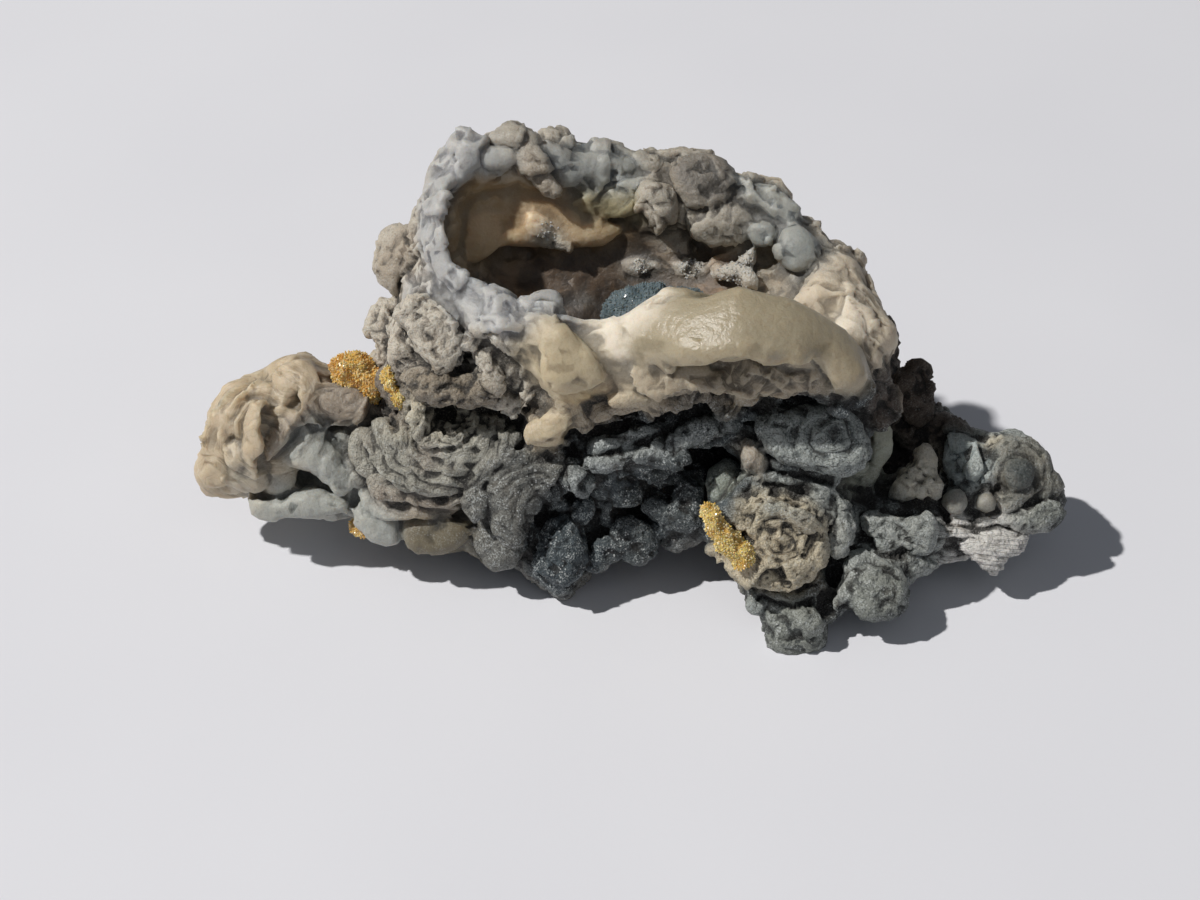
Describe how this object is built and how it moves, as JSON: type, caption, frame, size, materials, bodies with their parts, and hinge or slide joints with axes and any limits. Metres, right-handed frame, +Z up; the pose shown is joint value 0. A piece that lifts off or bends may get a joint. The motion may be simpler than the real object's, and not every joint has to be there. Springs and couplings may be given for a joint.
{
  "type": "chalcedony specimen",
  "caption": "Natural chalcedony specimen: a pale, open, hollow bowl of chalcedony grown over a dark, knobbly base of coiled shells and ledges, with crusts of yellow crystals.",
  "frame": {"origin": "on the surface that the stone rests on, under the middle of the stone's box", "axes": "+X along the stone's length towards the small right-hand lobe, +Y away from the side with the smooth lip, +Z up"},
  "size_m": [0.1116, 0.0492, 0.0524],
  "materials": {
    "chalcedony": "waxy, pale lilac-grey to beige above and dark slate with white specks below",
    "blue_grey_crystals": "sparkling crust of fine crystals",
    "yellow_crystals": "sparkling amber to pale yellow crystals"
  },
  "bodies": {
    "root": {"chalcedony": "chalcedony", "crystal_mound": "blue_grey_crystals", "yellow_crystals_upper": "yellow_crystals", "yellow_crystals_left": "yellow_crystals", "yellow_crystals_front": "yellow_crystals", "yellow_crystals_low": "yellow_crystals"}
  },
  "joints": []
}
